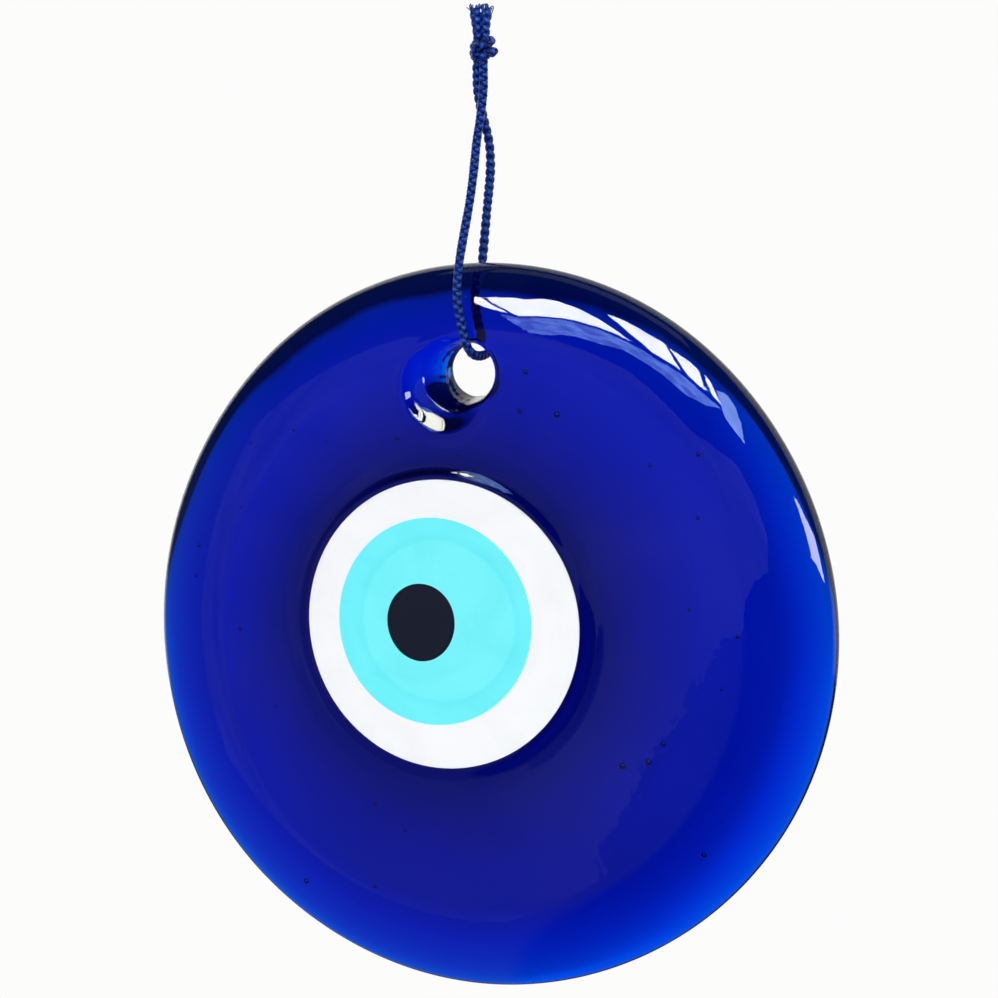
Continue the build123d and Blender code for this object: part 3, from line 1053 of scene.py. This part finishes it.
def card(name, points, y, radiance, spread=0.0, colour=(1, 1, 1), grain=3.2):
    """A flat card in front of the disc, seen only in its reflections."""
    b = Builder()
    b.points([(x / MM, y / MM, z / MM) for x, z in points])
    b.add([tuple(range(len(points)))])
    ob = make_object(name, b.all_verts(), b.faces, smooth=False)
    mat, nt, bsdf, out = new_material(name)
    bsdf.inputs["Base Color"].default_value = (0.0, 0.0, 0.0, 1)
    bsdf.inputs["Specular IOR Level"].default_value = 0.0
    bsdf.inputs["Emission Color"].default_value = (*colour, 1)
    if spread:
        vec = object_coords(nt)
        mottle = noise(nt, vec, grain, 3, 0.5, 0.8)
        nt.links.new(map_range(nt, mottle, 0.35, 0.65, radiance - spread, radiance + spread), bsdf.inputs["Emission Strength"])
    else:
        bsdf.inputs["Emission Strength"].default_value = radiance
    ob.data.materials.append(mat)
    ob.visible_camera = ob.visible_transmission = False
    return ob


# CARDS
# a window of five panes up in front, and paler sky below and beside it
card("pane_1", [
    (-0.947, 1.028), (-0.853, 0.993), (-0.673, 0.651), (-0.691, 0.656), (-0.760, 0.716),
    (-0.931, 0.974),
], -1.80, 21.0, 0.0, (0.99, 1.01, 0.86), 1.0)
card("pane_2", [
    (-0.829, 0.990), (-0.666, 1.019), (-0.631, 0.985), (-0.579, 1.047), (-0.517, 1.097),
    (-0.438, 1.090), (-0.360, 1.049), (-0.228, 0.933), (-0.163, 0.842), (-0.094, 0.759),
    (-0.197, 0.768), (-0.256, 0.768), (-0.383, 0.758), (-0.450, 0.723), (-0.539, 0.667),
    (-0.624, 0.601), (-0.645, 0.631),
], -1.80, 21.0, 1.6, (0.99, 1.01, 0.86), 9.0)
card("pane_3", [
    (-0.163, 1.120), (-0.060, 1.123), (0.069, 1.062), (0.185, 1.045), (0.193, 1.028),
    (0.186, 0.743), (0.122, 0.746), (0.021, 0.750), (-0.060, 0.883),
], -1.80, 21.0, 1.4, (0.99, 1.01, 0.86), 9.0)
card("pane_4", [
    (0.219, 0.995), (0.352, 0.972), (0.395, 0.918), (0.342, 0.699), (0.306, 0.675),
    (0.226, 0.726),
], -1.80, 21.0, 1.4, (0.99, 1.01, 0.86), 9.0)
card("pane_5", [
    (0.424, 0.902), (0.467, 0.889), (0.447, 0.783), (0.436, 0.655), (0.382, 0.676),
], -1.80, 21.0, 0.0, (0.99, 1.01, 0.86), 1.0)
card("sky_low", [
    (-0.698, 0.596), (-0.631, 0.568), (-0.540, 0.633), (-0.452, 0.691), (-0.388, 0.717),
    (-0.264, 0.728), (-0.210, 0.724), (-0.112, 0.711), (-0.018, 0.689), (0.051, 0.679),
    (0.181, 0.682), (0.296, 0.618), (0.392, 0.600), (0.223, 0.492), (0.048, 0.440),
    (-0.029, 0.500), (-0.134, 0.522), (-0.204, 0.543), (-0.324, 0.473), (-0.429, 0.435),
    (-0.489, 0.389), (-0.547, 0.318), (-0.594, 0.296), (-0.636, 0.408),
], -1.80, 6.0, 3.2, (0.28, 0.47, 1.0), 11.0)
card("sky_side", [
    (0.475, 0.804), (0.590, 0.856), (0.629, 0.766), (0.587, 0.627), (0.494, 0.434),
    (0.434, 0.467), (0.388, 0.543), (0.428, 0.633),
], -1.80, 9.0, 1.5, (0.47, 0.70, 1.0), 8.0)
# the dim side of the room
card("dim_card", [
    (-1.900, 0.260), (-1.900, -1.000), (-0.700, -1.000), (-0.612, -0.786), (-0.605, -0.602),
    (-0.573, -0.528), (-0.530, -0.465), (-0.500, -0.418), (-0.395, -0.373), (0.157, -0.203),
    (0.289, -0.071), (0.281, 0.083), (0.213, 0.192), (-0.149, 0.094), (-0.300, 0.260),
], -1.80, 0.20, 0.05)
# END CARDS

# soft shade behind the disc, where its opaque eye keeps the light off the wall
shade_n = 96
shade_t = np.arange(shade_n) * 2 * np.pi / shade_n
SHADE_X, SHADE_Z, SHADE_R = -12.5, -117.0, 59.0
shade = make_object("soft_shade", np.stack([
    SHADE_X + SHADE_R * np.cos(shade_t), np.full(shade_n, 15.0), SHADE_Z + SHADE_R * np.sin(shade_t)], 1),
    [tuple(range(shade_n))], smooth=False)
shade_mat = bpy.data.materials.new("soft_shade")
shade_mat.use_nodes = True
nt = shade_mat.node_tree
nt.nodes.clear()
out = nt.nodes.new("ShaderNodeOutputMaterial")
clear = nt.nodes.new("ShaderNodeBsdfTransparent")
tc = node(nt, "ShaderNodeTexCoord")
sub = node(nt, "ShaderNodeVectorMath", operation="SUBTRACT")
sub.inputs[1].default_value = (SHADE_X * MM, 15.0 * MM, SHADE_Z * MM)
nt.links.new(tc.outputs["Object"], sub.inputs[0])
length = node(nt, "ShaderNodeVectorMath", operation="LENGTH")
nt.links.new(sub.outputs[0], length.inputs[0])
fade = map_range(nt, length.outputs["Value"], 0.0, 0.060, 0.0, 1.0)
nt.links.new(ramp(nt, fade, [(q / 60, (v, v, v)) for q, v in (
    (26, 0.26), (32, 0.33), (38, 0.50), (45, 0.72), (52, 0.88), (58.5, 1.0))]), clear.inputs["Color"])
nt.links.new(clear.outputs[0], out.inputs["Surface"])
shade.data.materials.append(shade_mat)
shade.visible_camera = shade.visible_glossy = shade.visible_diffuse = shade.visible_shadow = False

# pale floor
sweep = [(y, -0.44) for y in np.linspace(-0.45, 0.74, 10)]
verts, xs = [], np.linspace(-3.2, 3.2, 9)
for y, z in sweep:
    for x in xs:
        verts.append((x / MM, y / MM, z / MM))
floor = make_object("studio_floor", verts, grid_quads(len(sweep), len(xs), closed=False))
floor_mat, nt, bsdf, out = new_material("studio_paper")
bsdf.inputs["Base Color"].default_value = (0.80, 0.80, 0.795, 1)
bsdf.inputs["Roughness"].default_value = 0.9
bsdf.inputs["Specular IOR Level"].default_value = 0.1
bsdf.inputs["Emission Color"].default_value = (1.0, 1.0, 0.995, 1)
bsdf.inputs["Emission Strength"].default_value = 0.45
floor.data.materials.append(floor_mat)
floor.visible_glossy = False                      # kept out of the glass's reflections
floor.visible_transmission = False

world = bpy.data.worlds.new("studio")
scene.world = world
world.use_nodes = True
wt = world.node_tree
wt.nodes.clear()
w_out = wt.nodes.new("ShaderNodeOutputWorld")
w_bg = wt.nodes.new("ShaderNodeBackground")
w_tc = wt.nodes.new("ShaderNodeTexCoord")
w_sep = wt.nodes.new("ShaderNodeSeparateXYZ")
wt.links.new(w_tc.outputs["Generated"], w_sep.inputs[0])


def world_range(socket, a, b, c, d):
    m = wt.nodes.new("ShaderNodeMapRange")
    m.interpolation_type = "SMOOTHSTEP"
    m.inputs["From Min"].default_value, m.inputs["From Max"].default_value = a, b
    m.inputs["To Min"].default_value, m.inputs["To Max"].default_value = c, d
    wt.links.new(w_sep.outputs[socket], m.inputs["Value"])
    return m.outputs["Result"]


# behind the disc: bright, dimmer low down; in front: dim to the left, dark to the right
behind = world_range("Y", -0.05, 0.35, 0.0, 1.0)
w_z = wt.nodes.new("ShaderNodeMapRange")
w_z.inputs["From Min"].default_value, w_z.inputs["From Max"].default_value = -0.70, 0.20
wt.links.new(w_sep.outputs["Z"], w_z.inputs["Value"])
w_ramp = wt.nodes.new("ShaderNodeValToRGB")
w_cr = w_ramp.color_ramp
for pos, value in (
    (0.0, 0.07), (0.487, 0.09), (0.511, 0.56), (0.560, 0.74), (0.647, 0.92), (1.0, 1.35),
):
    stop = w_cr.elements.new(pos)
    stop.color = (value, value, value, 1)
w_cr.elements.remove(w_cr.elements[0])
w_cr.elements.remove(w_cr.elements[-1])
wt.links.new(w_z.outputs["Result"], w_ramp.inputs["Fac"])
left = world_range("X", -0.31, -0.25, 0.105, 0.012)
w_side = wt.nodes.new("ShaderNodeMath")
w_side.operation = "MULTIPLY"
wt.links.new(behind, w_side.inputs[0])
wt.links.new(world_range("X", -0.47, -0.385, 1.36, 1.0), w_side.inputs[1])
w_mul = wt.nodes.new("ShaderNodeMath")
w_mul.operation = "MULTIPLY_ADD"
# the upper left in front is darker
w_up = wt.nodes.new("ShaderNodeMath")
w_up.operation = "MULTIPLY"
wt.links.new(left, w_up.inputs[0])
wt.links.new(world_range("Z", 0.0, 0.30, 1.0, 0.25), w_up.inputs[1])
w_through = wt.nodes.new("ShaderNodeMix")
w_through.data_type = "FLOAT"
w_lp = wt.nodes.new("ShaderNodeLightPath")
wt.links.new(w_lp.outputs["Is Transmission Ray"], w_through.inputs[0])
wt.links.new(w_up.outputs[0], w_through.inputs[2])
wt.links.new(world_range("Y", -0.45, -0.05, 0.75, 0.0), w_through.inputs[3])
wt.links.new(w_through.outputs[0], w_mul.inputs[2])
wt.links.new(w_side.outputs[0], w_mul.inputs[0])
wt.links.new(w_ramp.outputs["Color"], w_mul.inputs[1])
w_mix = wt.nodes.new("ShaderNodeMix")
w_mix.data_type = "FLOAT"
wt.links.new(w_lp.outputs["Is Camera Ray"], w_mix.inputs[0])
wt.links.new(w_mul.outputs[0], w_mix.inputs[2])
w_mix.inputs[3].default_value = 0.975
w_bg.inputs["Color"].default_value = (1, 1, 0.995, 1)
wt.links.new(w_mix.outputs[0], w_bg.inputs["Strength"])
wt.links.new(w_bg.outputs[0], w_out.inputs["Surface"])

scene.view_settings.view_transform = "Standard"
scene.view_settings.look = "None"

bpy.context.view_layer.update()
